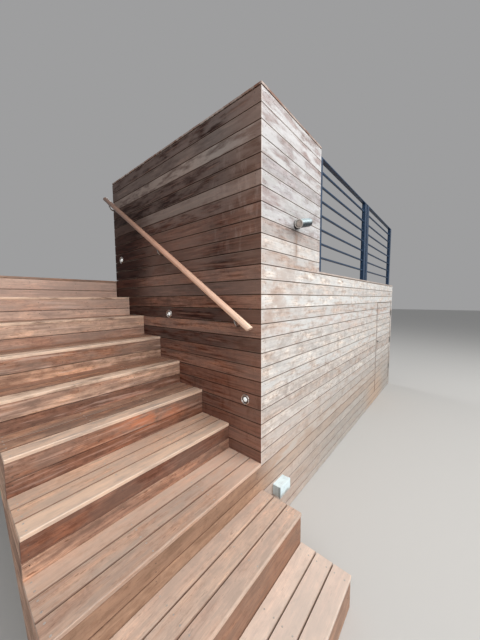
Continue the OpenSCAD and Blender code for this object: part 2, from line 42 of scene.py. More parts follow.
# ---------------------------------------------------------------- places, taken from the frame
# The corner is the upright edge where the two boarded walls meet
CORNER_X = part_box("stair_side_cladding")[0].x
CORNER_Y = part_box("path_cladding_tall")[0].y
STAIR_END_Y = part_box("stair_side_cladding")[1].y
TALL_END_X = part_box("path_cladding_tall")[1].x
WALL_END_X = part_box("path_cladding_over_door")[1].x
DOOR_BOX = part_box("door_boards")
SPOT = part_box("wall_spotlight")
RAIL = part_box("handrail")
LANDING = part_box("landing_boards")
TREAD_3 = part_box("tread_3")

BOARD_GAP = 0.004
STUD_PITCH = 0.45

# Rows of wall boards, counted from the foot; the low wall has the lower ones
ROWS = 25
LOW_ROWS = 14
ROW_0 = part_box("stair_side_cladding")[0].z - BOARD_GAP / 2
ROW_PITCH = (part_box("stair_side_cladding")[1].z + BOARD_GAP / 2 - ROW_0) / ROWS

TREADS = 9
TREAD_BOARDS = 3
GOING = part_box("tread_4")[0].y - TREAD_3[0].y
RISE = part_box("tread_4")[1].z - TREAD_3[1].z
TREAD_PITCH = (TREAD_3[1].y - TREAD_3[0].y + BOARD_GAP) / TREAD_BOARDS
LANDING_BOARDS = 12
DECK_PITCH = (LANDING[1].y - LANDING[0].y + BOARD_GAP) / LANDING_BOARDS

# Materials count the steps from tread 3, which is step 0, and the riser on it, which is riser 0
FACE_PLAY = 0.0005       # a step's count starts this far in front of its tread
FRONT_PLAY = 0.002       # the same for masks of whole steps
RISER_TOP = 0.0195       # risers end this far below the next tread's top
RISER_SPLIT = 0.498      # share of a rise where a riser's two boards meet
WIDE_RISERS = -1.5       # risers below this count are one wide board


def at(x, y, z):
    """A point given from the walls' corner and the ground."""
    return Vector((CORNER_X + x, CORNER_Y + y, z))


def spread(a, b, step):
    """Even places from a to b, no further apart than step."""
    n = max(1, math.ceil((b - a) / step))
    return [a + (b - a) * i / n for i in range(n + 1)]


# ---------------------------------------------------------------- materials
class Graph:
    """A small helper that builds one node material."""

    def __init__(self, name):
        self.mat = bpy.data.materials.new(name)
        self.mat.use_nodes = True
        self.tree = self.mat.node_tree
        self.tree.nodes.clear()
        out = self.tree.nodes.new("ShaderNodeOutputMaterial")
        self.shader = self.tree.nodes.new("ShaderNodeBsdfPrincipled")
        self.tree.links.new(self.shader.outputs[0], out.inputs[0])
        coord = self.tree.nodes.new("ShaderNodeTexCoord")
        self.point = coord.outputs["Object"]
        split = self.tree.nodes.new("ShaderNodeSeparateXYZ")
        self.tree.links.new(self.point, split.inputs[0])
        self.x, self.y, self.z = split.outputs

    def put(self, socket, value):
        """Links a socket to another one's output, or sets its value."""
        if hasattr(value, "is_output"):
            self.tree.links.new(value, socket)
        elif isinstance(value, (tuple, list)) and socket.type == "RGBA" and len(value) == 3:
            socket.default_value = (*value, 1.0)
        else:
            socket.default_value = value

    def math(self, op, a, b=0.0, clamp=False):
        node = self.tree.nodes.new("ShaderNodeMath")
        node.operation = op
        node.use_clamp = clamp
        self.put(node.inputs[0], a)
        self.put(node.inputs[1], b)
        return node.outputs[0]

    def add(self, a, b):
        return self.math("ADD", a, b)

    def sub(self, a, b):
        return self.math("SUBTRACT", a, b)

    def mul(self, value, *others):
        for other in others:
            value = self.math("MULTIPLY", value, other)
        return value

    def div(self, a, b):
        return self.math("DIVIDE", a, b)

    def over(self, a, b):
        """1 where a is greater than b."""
        return self.math("GREATER_THAN", a, b)

    def under(self, a, b):
        """1 where a is less than b."""
        return self.math("LESS_THAN", a, b)

    def away(self, value, centre):
        """Distance from a centre."""
        return self.math("ABSOLUTE", self.sub(value, centre))

    def join(self, x, y, z):
        node = self.tree.nodes.new("ShaderNodeCombineXYZ")
        for i, v in enumerate((x, y, z)):
            self.put(node.inputs[i], v)
        return node.outputs[0]

    def noise(self, vector, scale=1.0, detail=2.0, rough=0.5):
        node = self.tree.nodes.new("ShaderNodeTexNoise")
        self.put(node.inputs["Vector"], vector)
        node.inputs["Scale"].default_value = scale
        node.inputs["Detail"].default_value = detail
        node.inputs["Roughness"].default_value = rough
        return node.outputs[0]

    def cells(self, vector):
        """Distance to the nearest of scattered points."""
        node = self.tree.nodes.new("ShaderNodeTexVoronoi")
        self.put(node.inputs["Vector"], vector)
        node.inputs["Scale"].default_value = 1.0
        return node.outputs["Distance"]

    def white(self, vector):
        """Three numbers from 0 to 1 that belong to the vector."""
        node = self.tree.nodes.new("ShaderNodeTexWhiteNoise")
        node.noise_dimensions = "3D"
        self.put(node.inputs["Vector"], vector)
        split = self.tree.nodes.new("ShaderNodeSeparateColor")
        self.tree.links.new(node.outputs["Color"], split.inputs[0])
        return split.outputs

    def ramp(self, value, stops):
        node = self.tree.nodes.new("ShaderNodeValToRGB")
        ramp = node.color_ramp
        while len(ramp.elements) < len(stops):
            ramp.elements.new(0.5)
        for element, (place, colour) in zip(ramp.elements, stops):
            element.position = place
            element.color = (*colour, 1.0)
        self.put(node.inputs[0], value)
        return node.outputs[0]

    def between(self, value, low, high, top=1.0):
        """0 below low, top above high, smooth between them; low may be the greater."""
        node = self.tree.nodes.new("ShaderNodeMapRange")
        node.interpolation_type = "SMOOTHSTEP"
        self.put(node.inputs["Value"], value)
        low_out, high_out = 0.0, top
        if low > high:
            low, high, low_out, high_out = high, low, top, 0.0
        node.inputs["From Min"].default_value = low
        node.inputs["From Max"].default_value = high
        node.inputs["To Min"].default_value = low_out
        node.inputs["To Max"].default_value = high_out
        return node.outputs[0]

    def near(self, value, centre, inner, outer, top=1.0):
        """top within inner of the centre, 0 beyond outer."""
        return self.between(self.away(value, centre), outer, inner, top)

    def only(self, count, number, top=1.0):
        """top where a whole count is the number, 0 elsewhere."""
        return self.near(count, number, 0.2, 0.6, top)

    def mix(self, amount, a, b, blend="MIX"):
        node = self.tree.nodes.new("ShaderNodeMix")
        node.data_type = "RGBA"
        node.blend_type = blend
        self.put(node.inputs[0], amount)
        self.put(node.inputs[6], a)
        self.put(node.inputs[7], b)
        return node.outputs[2]

    def shade(self, amount, colour, factor):
        """Multiplies the colour by a factor where amount is 1."""
        return self.mix(amount, colour, factor, "MULTIPLY")

    def bump(self, height, strength, distance):
        node = self.tree.nodes.new("ShaderNodeBump")
        node.inputs["Strength"].default_value = strength
        node.inputs["Distance"].default_value = distance
        self.put(node.inputs["Height"], height)
        self.tree.links.new(node.outputs[0], self.shader.inputs["Normal"])

    def set(self, **values):
        for name, value in values.items():
            self.put(self.shader.inputs[name.replace("_", " ")], value)


class Board:
    """Coordinates along, across and through a board, its number, and the place across it."""

    def __init__(self, g, kind):
        self.g = g
        {"wall": self.wall, "tread": self.tread, "deck": self.deck, "riser": self.riser}[kind]()

    def count(self, value):
        """The whole number in a value, and what is left."""
        return self.g.math("FLOOR", value), self.g.math("FRACT", value)

    def wall(self):
        g = self.g
        self.along, self.across, self.through = g.add(g.x, g.y), g.z, 0.0
        self.index, self.part = self.count(g.div(g.sub(g.z, ROW_0), ROW_PITCH))

    def tread(self):
        g = self.g
        self.along, self.across, self.through = g.x, g.y, g.z
        self.step, rest = self.count(g.div(g.sub(g.y, TREAD_3[0].y - FACE_PLAY), GOING))
        self.front = g.mul(rest, GOING)
        self.sub, self.part = self.count(g.div(self.front, TREAD_PITCH))
        self.index = g.add(g.mul(self.step, float(TREAD_BOARDS)), self.sub)

    def deck(self):
        g = self.g
        self.along, self.across, self.through = g.x, g.y, g.z
        self.index, self.part = self.count(g.div(g.sub(g.y, LANDING[0].y - BOARD_GAP / 2), DECK_PITCH))

    def riser(self):
        g = self.g
        self.along, self.across, self.through = g.x, g.z, g.y
        self.step, rest = self.count(g.div(g.sub(g.z, TREAD_3[1].z - RISER_TOP), RISE))
        upper = g.mul(g.over(rest, RISER_SPLIT), g.over(self.step, WIDE_RISERS))
        self.index = g.add(g.mul(self.step, 2.0), upper)


class Wood:
    """Boards with tones of their own, mottling, streaks, pores, knots, bleaching and dirty edges."""

    # For each layer, the noise that places it, and (from, to, factor) where that is high and where it is low
    LAYERS = {
        "hue": ("slow", (0.50, 0.64, (0.96, 0.86, 0.79)), (0.48, 0.38, (0.70, 0.63, 0.61))),
        "mottle": ("patch", (0.49, 0.63, (0.52, 0.45, 0.41)), (0.47, 0.36, (1.34, 1.33, 1.30))),
        "streak": ("long", (0.50, 0.62, (0.54, 0.46, 0.41)), (0.47, 0.36, (1.28, 1.26, 1.23))),
        "blotch": ("cloud", (0.50, 0.62, (0.74, 0.68, 0.65)), (0.48, 0.37, (1.16, 1.16, 1.15))),
        "fine": ("grain", (0.48, 0.66, (0.58, 0.51, 0.46)), (0.46, 0.34, (1.22, 1.20, 1.18))),
    }
    FLECK = (0.46, 0.36, 0.30)
    KNOT = (0.50, 0.38, 0.30)
    KNOT_HEART = (0.35, 0.26, 0.20)
    DIRT = (0.42, 0.34, 0.30)
    WARP = 0.03              # sideways wander of the grain, in metres
    BOARD_SHIFT = 40.0       # how far apart two boards lie in the pattern
    UNEVEN = 0.9             # how much the boards differ in their bleaching

    def __init__(self, name, kind, tones, seed, hue=0.5, mottle=0.5, streak=0.35, blotch=0.6, fine=0.3,
                 knots=0.4):
        g = self.g = Graph(name)
        b = self.board = Board(g, kind)
        self.r = g.white(g.join(b.index, seed, seed * 0.37))
        self.shift = g.mul(self.r[1], self.BOARD_SHIFT)
        warp = g.noise(g.join(g.mul(b.along, 2.2), g.mul(b.across, 7.0), self.shift), detail=1.0)
        bent = g.add(b.across, g.mul(g.sub(warp, 0.5), self.WARP))
        # Slow changes, patches, streaks, grain, flecks and clouds: cycles per metre along and across
        self.slow = self.field(1.1, 3.5, b.across, 2.0)
        self.patch = self.field(4.5, 17.0, b.across, 5.0, 0.62)
        self.long = self.field(3.0, 58.0, bent, 4.0, 0.6)
        self.grain = self.field(13.0, 300.0, bent, 4.0, 0.62)
        self.fleck = self.field(26.0, 110.0, bent, 2.0)
        self.cloud = self.field(19.0, 27.0, bent, 5.0, 0.72)
        self.colour = g.ramp(self.r[0], tones)
        for layer, amount in (("hue", hue), ("mottle", mottle), ("streak", streak), ("blotch", blotch),
                              ("fine", fine)):
            self.layer(layer, amount)
        self.shade(g.between(self.fleck, 0.63, 0.71, min(1.0, fine * 1.6)), self.FLECK)
        self.knots(knots)

    def field(self, along, across, place, detail, rough=0.5):
        """Noise drawn out along the board, with its own part of the pattern on each board."""
        g, b = self.g, self.board
        return g.noise(g.join(g.add(g.mul(b.along, along), self.shift), g.mul(place, across),
                              g.mul(b.through, across)), detail=detail, rough=rough)

    def shade(self, amount, factor):
        self.colour = self.g.shade(amount, self.colour, factor)

    def mix(self, amount, colour):
        self.colour = self.g.mix(amount, self.colour, colour)

    def layer(self, name, amount):
        """One kind of unevenness: stretches of another hue, mottling, streaks, blotches or fine grain."""
        field, high, low = self.LAYERS[name]
        for start, end, factor in (high, low):
            self.shade(self.g.between(getattr(self, field), start, end, amount), factor)

    def knots(self, amount):
        g, b = self.g, self.board
        place = g.join(g.add(g.mul(b.along, 2.4), self.shift), g.mul(b.across, 7.0), g.mul(b.index, 3.7))
        distance = g.cells(place)
        self.shade(g.between(distance, 0.11, 0.05, amount), self.KNOT)
        self.shade(g.between(distance, 0.045, 0.02, amount), self.KNOT_HEART)

    def single(self, count, amounts, factor):
        """Shades single boards, each by its own amount."""
        for number, amount in amounts.items():
            self.shade(self.g.only(count, number, amount), factor)

    def weather(self, field, colour):
        """Bleached by sun and rain where the field is 1, more on some boards than on others."""
        g = self.g
        where = g.mul(field, g.between(self.patch, 0.36, 0.62))
        board = g.add(1.0 - self.UNEVEN * 0.6, g.mul(self.r[2], self.UNEVEN))
        self.mix(g.math("MULTIPLY", where, board, clamp=True), colour)

    def rim(self):
        """0 along the middle of the board, 0.5 in the joints at its two edges."""
        return self.g.away(self.board.part, 0.5)

    def edges(self, amount, width, where=1.0):
        """Dirt along the board's two long edges."""
        g = self.g
        self.shade(g.mul(g.between(self.rim(), width - 0.035, 0.49, amount), where), self.DIRT)

    def wear(self, amount, colour):
        """Arrises pale just inside the dirt: rubbed wear, and a painted highlight where the rounded edges
        catch light.
        """
        g = self.g
        rim = self.rim()
        line = g.mul(g.between(rim, 0.40, 0.455), g.between(rim, 0.475, 0.46))
        self.mix(g.mul(line, g.between(self.long, 0.4, 0.6, amount)), colour)

    def done(self, rough=0.6, gloss=0.3):
        g = self.g
        g.set(Base_Color=self.colour, Roughness=g.add(rough - 0.1, g.mul(self.grain, 0.22)),
              Specular_IOR_Level=gloss)
        g.bump(g.add(self.grain, g.mul(self.fleck, 0.6)), 0.45, 0.001)
        return g.mat


# Tones of single boards, from the darkest to the palest
TREAD_TONES = [(0.0, (0.42, 0.255, 0.18)), (0.35, (0.54, 0.35, 0.255)),
               (0.7, (0.62, 0.43, 0.32)), (1.0, (0.72, 0.54, 0.42))]
RISER_TONES = [(0.0, (0.30, 0.165, 0.115)), (0.4, (0.42, 0.25, 0.175)),
               (0.75, (0.54, 0.34, 0.245)), (1.0, (0.62, 0.42, 0.31))]
# the stair side's tones are partly painted shade: darker than its timber, standing in for the shade of the
# roof and the house wall
SIDE_TONES = [(0.0, (0.050, 0.020, 0.015)), (0.35, (0.105, 0.048, 0.034)),
              (0.7, (0.18, 0.094, 0.068)), (1.0, (0.31, 0.20, 0.155))]
PATH_TONES = [(0.0, (0.42, 0.335, 0.295)), (0.3, (0.54, 0.46, 0.415)),
              (0.65, (0.62, 0.57, 0.535)), (1.0, (0.72, 0.69, 0.66))]
FRAME_TONES = [(0.0, (0.40, 0.31, 0.17)), (0.5, (0.46, 0.36, 0.21)), (1.0, (0.52, 0.42, 0.25))]
TALL_CAP_TONES = SIDE_TONES[2:] + [(1.0, (0.40, 0.32, 0.28))]

# Boards that are darker than the others, by their count, and how much
TREAD_SHADES = {7.0: 0.6, 8.0: 0.4, -2.0: 0.2, -1.0: 0.1}
RISER_SHADES = {0.0: 0.45, 1.0: 0.9, 2.0: 0.85, 3.0: 0.4, 4.0: 0.6, 5.0: 0.2, -4.0: 0.3}
# Rows of the side wall that are bleached along their length, and how much
SIDE_LINES = {22.0: 0.95, 19.0: 0.6, 23.0: 0.4, 12.0: 0.25}


def tread_wood():
    """Treads: the lowest two pale, the upper ones darker behind their nosings in painted shade."""
    w = Wood("tread_wood", "tread", TREAD_TONES, 3.0, hue=0.75, mottle=0.9, streak=0.45, blotch=0.9,
             fine=0.55)
    g, b = w.g, w.board
    lowest_two = g.over(TREAD_3[0].y - FRONT_PLAY, g.y)
    first = g.over(TREAD_3[0].y - GOING - FRONT_PLAY, g.y)
    high = g.between(g.y, CORNER_Y + 1.8 * GOING, CORNER_Y + 3.0 * GOING)
    nosing = g.mul(g.under(b.sub, 0.5), g.over(b.step, 0.5))
    # the lowest two treads, and the first one paler still
    w.mix(g.mul(lowest_two, 0.4), (0.67, 0.53, 0.46))
    w.mix(g.mul(first, 0.4), (0.96, 0.86, 0.78))
    # treads 3 and 4, the rear board of tread 3, and tread 3 beside the wall
    w.mix(g.only(b.step, 0.0, 0.35), (0.46, 0.325, 0.26))
    w.mix(g.only(b.step, 1.0, 0.4), (0.74, 0.50, 0.36))
    w.mix(g.only(b.index, 2.0, 0.4), (0.74, 0.53, 0.41))
    beside_wall = g.between(g.x, CORNER_X - 0.5, CORNER_X - 0.1, 0.55)
    w.mix(g.mul(g.only(b.step, 0.0), beside_wall), (0.84, 0.57, 0.44))
    # painted shade on the upper treads behind their nosings, and darker single boards
    w.shade(g.mul(high, g.sub(1.0, nosing), 0.8), (0.64, 0.49, 0.43))
    w.single(b.index, TREAD_SHADES, (0.62, 0.53, 0.48))
    # bleached, less on the upper treads, and the nosings paler: walked pale, and partly a painted highlight
    # on their rounded edges
    w.weather(g.sub(0.40, g.mul(high, 0.30)), (0.76, 0.66, 0.57))
    w.mix(g.mul(nosing, g.between(w.patch, 0.66, 0.40, 0.6)), (0.92, 0.70, 0.54))
    w.edges(0.9, 0.455, g.over(b.front, 0.02))
    # pale arrises: wear and a painted highlight
    w.wear(0.45, (0.80, 0.68, 0.58))
    tread_arris(w)
    return w.done(0.5, 0.35)


def tread_arris(w):
    """A pale line along each tread's front arris: worn, and a painted highlight."""
    g, b = w.g, w.board
    top_face = g.near(g.math("FRACT", g.add(g.div(g.sub(g.z, TREAD_3[1].z), RISE), 0.5)), 0.5, 0.01, 0.03)
    arris = g.mul(g.between(b.front, 0.008, 0.003), top_face)
    strength = g.add(0.2, g.mul(g.over(b.step, 0.5), 0.5))
    w.mix(g.mul(arris, strength, g.between(w.long, 0.62, 0.44)), (0.92, 0.74, 0.60))


def riser_wood():
    """Risers: olive brown below, orange brown in the middle, paler towards the landing in painted light."""
    w = Wood("riser_wood", "riser", RISER_TONES, 11.0, hue=1.0, mottle=1.0, streak=0.55, blotch=1.0,
             fine=0.55, knots=0.5)
    g, step = w.g, w.board.step
    w.weather(0.2, (0.66, 0.52, 0.43))
    w.single(w.board.index, RISER_SHADES, (0.58, 0.46, 0.43))
    # one red stretch on the second riser above tread 3
    red = g.mul(g.near(g.z, TREAD_3[1].z + 1.7 * RISE, 0.03, 0.09), g.near(g.x, CORNER_X - 0.42, 0.1, 0.32))
    w.mix(g.mul(red, g.between(w.patch, 0.60, 0.42, 0.8)), (0.58, 0.22, 0.115))
    # olive brown on the wide risers, pale streaks from there up, and a paler tone near the landing as painted
    # light
    w.mix(g.mul(g.under(step, WIDE_RISERS), 0.35), (0.33, 0.20, 0.135))
    w.mix(g.mul(g.between(w.long, 0.45, 0.36, 0.45), g.between(step, -1.0, 3.0)), (0.70, 0.52, 0.44))
    w.mix(g.between(step, 3.0, 6.0, 0.45), (0.80, 0.61, 0.53))
    return w.done(0.55, 0.3)


def riser_3_wood():
    """Riser tones at the steps, which turn into the path side's grey beige past the corner."""
    w = Wood("riser_3_wood", "wall", RISER_TONES, 13.0, mottle=0.8, streak=0.25, blotch=1.0, fine=0.5)
    g = w.g
    w.shade(0.9, (0.77, 0.74, 0.72))
    w.mix(0.45, (0.35, 0.23, 0.155))
    past = g.between(g.x, CORNER_X - 0.10, CORNER_X + 0.30)
    beige = g.mix(g.between(g.x, CORNER_X + 0.2, CORNER_X + 1.0), (0.58, 0.45, 0.37), (0.46, 0.39, 0.34))
    w.mix(g.mul(past, 0.75), beige)
    w.shade(g.mul(past, g.between(w.patch, 0.46, 0.62, 0.7)), (0.62, 0.55, 0.50))
    w.weather(g.mul(past, 0.5), (0.66, 0.62, 0.58))
    w.edges(0.7, 0.455)
    return w.done(0.6, 0.3)


def side_wood(name, seed, placed):
    """The shaded side, grey brown above and red brown below, its top darker in painted shade; placed adds the
    marks of the stair side.
    """
    w = Wood(name, "wall", SIDE_TONES, seed, hue=1.0, mottle=0.8, streak=0.85, blotch=0.9, fine=0.75,
             knots=0.7)
    g, row = w.g, w.board.index
    upper = g.between(row, 16.0, 21.0)
    # painted shade under the roof, with a greyer colour: darker towards the top rows
    w.shade(upper, (0.32, 0.38, 0.47))
    w.mix(g.mul(g.between(row, 9.0, 3.0), 0.25), (0.30, 0.125, 0.075))
    # dark streaks, and pale ones in patches
    w.shade(g.between(w.long, 0.51, 0.58, 0.7), (0.58, 0.48, 0.44))
    w.mix(g.mul(g.between(w.long, 0.47, 0.38), g.between(w.patch, 0.56, 0.42, 0.45)), (0.25, 0.165, 0.13))
    w.weather(g.add(0.30, g.mul(upper, 0.25)), (0.30, 0.24, 0.215))
    if placed:
        side_areas(w, row)
        side_marks(w, row)
    w.edges(0.85, 0.455)
    w.shade(1.0, (1.18, 1.08, 1.05))
    # pale arrises: wear and a painted highlight
    w.wear(0.4, (0.36, 0.26, 0.21))
    return w.done(0.68, 0.15)


def side_areas(w, row):
    """Bleached rows of the stair side, and its lighter and darker areas, some of them painted shade."""
    g = w.g
    y = g.sub(g.y, CORNER_Y)
    for line, amount in SIDE_LINES.items():
        w.mix(g.mul(g.only(row, line), g.between(w.patch, 0.66, 0.44, amount)), (0.31, 0.275, 0.25))
    # the top rows in grey patches, and a paler area in the middle
    w.mix(g.mul(g.between(row, 22.4, 23.4), g.between(w.patch, 0.38, 0.56, 0.55)), (0.115, 0.095, 0.09))
    w.mix(g.mul(g.near(y, 0.85, 0.25, 0.55), g.near(row, 15.0, 1.5, 3.5, 0.4)), (0.25, 0.17, 0.14))
    # darker or cooler: the far middle, the middle beside the corner, the far top, the top beside the corner;
    # the far middle and the far top are painted shade, darker away from the corner
    for across, up, factor in (
            (g.between(y, 1.1, 1.6), g.near(row, 15.0, 2.5, 8.0), (0.30, 0.20, 0.18)),
            (g.between(y, 0.5, 0.2), g.near(row, 15.0, 2.0, 6.0, 0.5), (0.70, 0.72, 0.76)),
            (g.between(y, 0.4, 1.5), g.between(row, 17.0, 21.0, 0.6), (0.68, 0.67, 0.68)),
            (g.between(y, 0.7, 0.2), g.between(row, 19.0, 21.0), (0.84, 0.93, 0.98))):
        w.shade(g.mul(across, up), factor)


def side_marks(w, row):
    """Runs and scuffs on the stair side: pale ones beside the corner, dark ones near the foot; and painted
    light, paler towards the corner.
    """
    g = w.g
    y = g.sub(g.y, CORNER_Y)
    # painted light: paler towards the corner, where more light falls
    w.mix(g.mul(g.between(y, 0.42, 0.02), 0.3), (0.34, 0.22, 0.17))
    runs = g.noise(g.join(g.mul(g.y, 17.0), g.mul(g.z, 5.0), row), detail=4.0, rough=0.65)
    beside = g.mul(g.between(y, 0.6, 0.1), g.near(row, 18.0, 2.0, 4.5))
    w.mix(g.mul(beside, g.between(runs, 0.50, 0.66, 0.22)), (0.44, 0.38, 0.35))
    w.shade(g.mul(g.between(row, 10.0, 4.0), g.between(runs, 0.52, 0.66, 0.5)), (0.62, 0.52, 0.46))


def path_wood(name, seed, placed):
    """The weathered side, pinkish beige to grey white; placed adds the marks of the path side."""
    w = Wood(name, "wall", PATH_TONES, seed, hue=0.3, mottle=0.6, streak=0.45, blotch=0.85, fine=0.5,
             knots=0.8)
    g, row = w.g, w.board.index
    # some boards pinkish, rain stains, and darker rows above the low wall as painted shade
    board = g.white(g.join(row, seed + 3.0, 7.0))
    pink = g.mul(g.between(board[1], 0.45, 0.8), g.between(w.slow, 0.42, 0.58))
    w.mix(g.mul(pink, 0.5), (0.50, 0.36, 0.31))
    stain = g.noise(g.join(g.mul(g.add(g.x, g.y), 7.0), g.mul(g.z, 9.0), seed), detail=4.0, rough=0.65)
    w.shade(g.between(stain, 0.49, 0.62, 0.8), (0.68, 0.61, 0.57))
    # painted shade on the tall wall's upper rows
    w.shade(g.between(row, 14.5, 17.5), (0.59, 0.60, 0.67))
    # bleached silver, most in the middle rows, and grey patches near the top
    w.weather(g.add(0.38, g.mul(g.near(row, 10.0, 3.0, 7.0), 0.35)), (0.74, 0.775, 0.785))
    w.mix(g.mul(g.between(row, 19.0, 23.0), g.between(w.patch, 0.38, 0.58, 0.55)), (0.66, 0.68, 0.70))
    if placed:
        path_areas(w, row, stain)
        lamp_drip(w)
        door_areas(w, row)
        # the corner's rubbed arris
        w.mix(g.between(g.away(g.x, CORNER_X), 0.012, 0.004, 0.5), (0.76, 0.70, 0.66))
    else:
        w.shade(1.0, (1.0, 0.94, 0.88))
    w.edges(0.9, 0.46)
    # pale arrises: wear and a painted highlight
    w.wear(0.5, (0.80, 0.76, 0.72))
    return w.done(0.62, 0.3)


def path_areas(w, row, stain):
    """Browner beside the corner, and browner or darker towards the foot."""
    g = w.g
    x = g.sub(g.x, CORNER_X)
    brown = g.mul(g.between(x, 0.6, 0.1), g.mul(g.near(row, 11.5, 1.5, 4.0), g.between(stain, 0.40, 0.56)))
    w.mix(g.mul(brown, 0.6), (0.46, 0.34, 0.28))
    foot = g.mix(g.between(x, 0.1, 1.4), (0.56, 0.42, 0.34), (0.385, 0.355, 0.32))
    w.mix(g.mul(g.between(row, 5.5, -3.5), 0.6), foot)


def lamp_drip(w):
    """The rust that runs down below the spotlight's base."""
    g = w.g
    from_front = 0.105
    foot = SPOT[0].z
    runs = g.noise(g.join(g.mul(g.x, 60.0), g.mul(g.z, 6.0), 2.0), detail=2.0)
    below = g.mul(g.between(g.z, foot + 0.02, foot - 0.03), g.between(g.z, foot - 0.34, foot - 0.12))
    drip = g.mul(g.near(g.x, SPOT[0].x + from_front, 0.006, 0.045), g.mul(below, g.between(runs, 0.3, 0.6)))
    w.mix(g.mul(drip, 0.75), (0.27, 0.17, 0.12))


def door_areas(w, row):
    """A warm area at the door's foot, and dark lines along its two sides and its head, painted shade in the
    door's gaps.
    """
    g = w.g
    low, high = DOOR_BOX
    joint = 0.003
    line = (0.33, 0.26, 0.22)
    w.mix(g.mul(g.near(g.x, low.x, 0.1, 0.7), g.mul(g.between(row, 0.0, -4.0), 0.6)), (0.58, 0.40, 0.28))
    rim = g.math("MINIMUM", g.away(g.x, low.x - joint), g.away(g.x, high.x + joint))
    beside = g.mul(g.under(g.z, high.z + 0.01), g.over(g.z, low.z - 0.01))
    # painted shade beside the door's gaps at its sides and over its head
    w.shade(g.mul(beside, g.between(rim, 0.03, 0.006, 0.85)), line)
    head = g.mul(g.near(g.z, high.z + BOARD_GAP / 2, 0.004, 0.009), g.over(g.x, low.x - joint))
    w.shade(g.mul(head, 0.85), line)


def cap_wood(name, tones, seed):
    w = Wood(name, "deck", tones, seed, streak=0.4, knots=0.2)
    w.weather(0.5, (0.64, 0.58, 0.54))
    return w.done(0.55, 0.35)


def deck_wood():
    w = Wood("deck_wood", "deck", TREAD_TONES, 5.0, mottle=0.75, streak=0.6, fine=0.5)
    w.weather(0.45, (0.62, 0.52, 0.45))
    w.edges(0.55, 0.47)
    return w.done(0.5, 0.4)


def stringer_wood():
    return Wood("stringer_wood", "wall", RISER_TONES, 61.0, mottle=0.7, streak=0.6, fine=0.5).done()


def frame_wood():
    return Wood("frame_timber", "wall", FRAME_TONES, 41.0, mottle=0.4, streak=0.3, knots=0.5).done(0.7)


def rail_wood():
    """Round rail, pale at its lower end and browner further up in painted light and shade, with handling
    dirt.
    """
    g = Graph("rail_wood")
    low, high = RAIL
    slope = math.atan2(high.z - low.z, high.y - low.y)
    along = g.add(g.mul(g.y, math.cos(slope)), g.mul(g.z, math.sin(slope)))
    up = g.sub(g.mul(g.z, math.cos(slope)), g.mul(g.y, math.sin(slope)))
    grain = g.noise(g.join(g.mul(along, 6.0), g.mul(up, 170.0), g.mul(g.x, 170.0)), detail=3.0)
    cloud = g.noise(g.join(g.mul(along, 5.0), g.mul(up, 14.0), g.mul(g.x, 14.0)), detail=3.0, rough=0.6)
    place = g.div(g.sub(g.y, low.y), high.y - low.y)
    # painted light and shade along the rail: pale where it is lit low down, dark where it is shaded higher up
    colour = g.ramp(place, [(0.0, (0.98, 0.74, 0.58)), (0.12, (0.97, 0.66, 0.50)),
                            (0.45, (0.77, 0.45, 0.325)), (0.7, (0.38, 0.22, 0.155)),
                            (1.0, (0.24, 0.145, 0.11))])
    # grain, dirt from hands, and the cut end darkened in painted shade
    colour = g.shade(g.between(grain, 0.46, 0.70, 0.55), colour, (0.62, 0.50, 0.42))
    colour = g.shade(g.between(cloud, 0.50, 0.72, 0.4), colour, (0.72, 0.62, 0.55))
    colour = g.shade(g.near(g.y, low.y, 0.004, 0.012, 0.5), colour, (0.6, 0.6, 0.62))
    g.set(Base_Color=colour, Roughness=g.add(0.34, g.mul(grain, 0.2)), Specular_IOR_Level=0.45)
    g.bump(grain, 0.2, 0.0006)
    return g.mat


def metal(name, colour, rough, metallic=1.0, wear=0.15, scale=60.0, gloss=0.5):
    """Metal or paint with duller spots."""
    g = Graph(name)
    spots = g.noise(g.point, scale=scale, detail=4.0, rough=0.6)
    dull = tuple(c * (1.0 - wear) for c in colour)
    g.set(Base_Color=g.mix(g.between(spots, 0.4, 0.65), colour, dull), Metallic=metallic,
          Roughness=g.add(rough - 0.06, g.mul(spots, 0.14)), Specular_IOR_Level=gloss)
    g.bump(spots, 0.08, 0.0004)
    return g.mat


# The spotlight's head: its tilt, its direction from front to tail, its radius, and its front's distance
# from the swivel
SPOT_TILT = math.radians(15)
SPOT_AXIS = Vector((math.cos(SPOT_TILT), 0.0, math.sin(SPOT_TILT)))
SPOT_R = 0.029
SPOT_FRONT = 0.100
# The step lights: the ring's radius, the treads they are over, their height over the tread, and their
# distance behind its front
LIGHT_R = 0.035
LIGHT_TREADS = (3, 6, 9)
LIGHT_UP = 0.384
LIGHT_IN = 0.128


def spot_pivot():
    """The head's swivel, found from the box of the whole lamp."""
    x = SPOT[0].x + SPOT_FRONT * math.cos(SPOT_TILT) + SPOT_R * math.sin(SPOT_TILT)
    z = SPOT[0].z + SPOT_FRONT * math.sin(SPOT_TILT) + SPOT_R * math.cos(SPOT_TILT)
    return Vector((x, SPOT[0].y + SPOT_R, z))


def light_centres():
    """The middles of the step lights, on the face of the stair side."""
    fronts = [(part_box(f"tread_{n}")[0].y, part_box(f"tread_{n}")[1].z) for n in LIGHT_TREADS]
    return [Vector((CORNER_X, y + LIGHT_IN, z + LIGHT_UP)) for y, z in fronts]


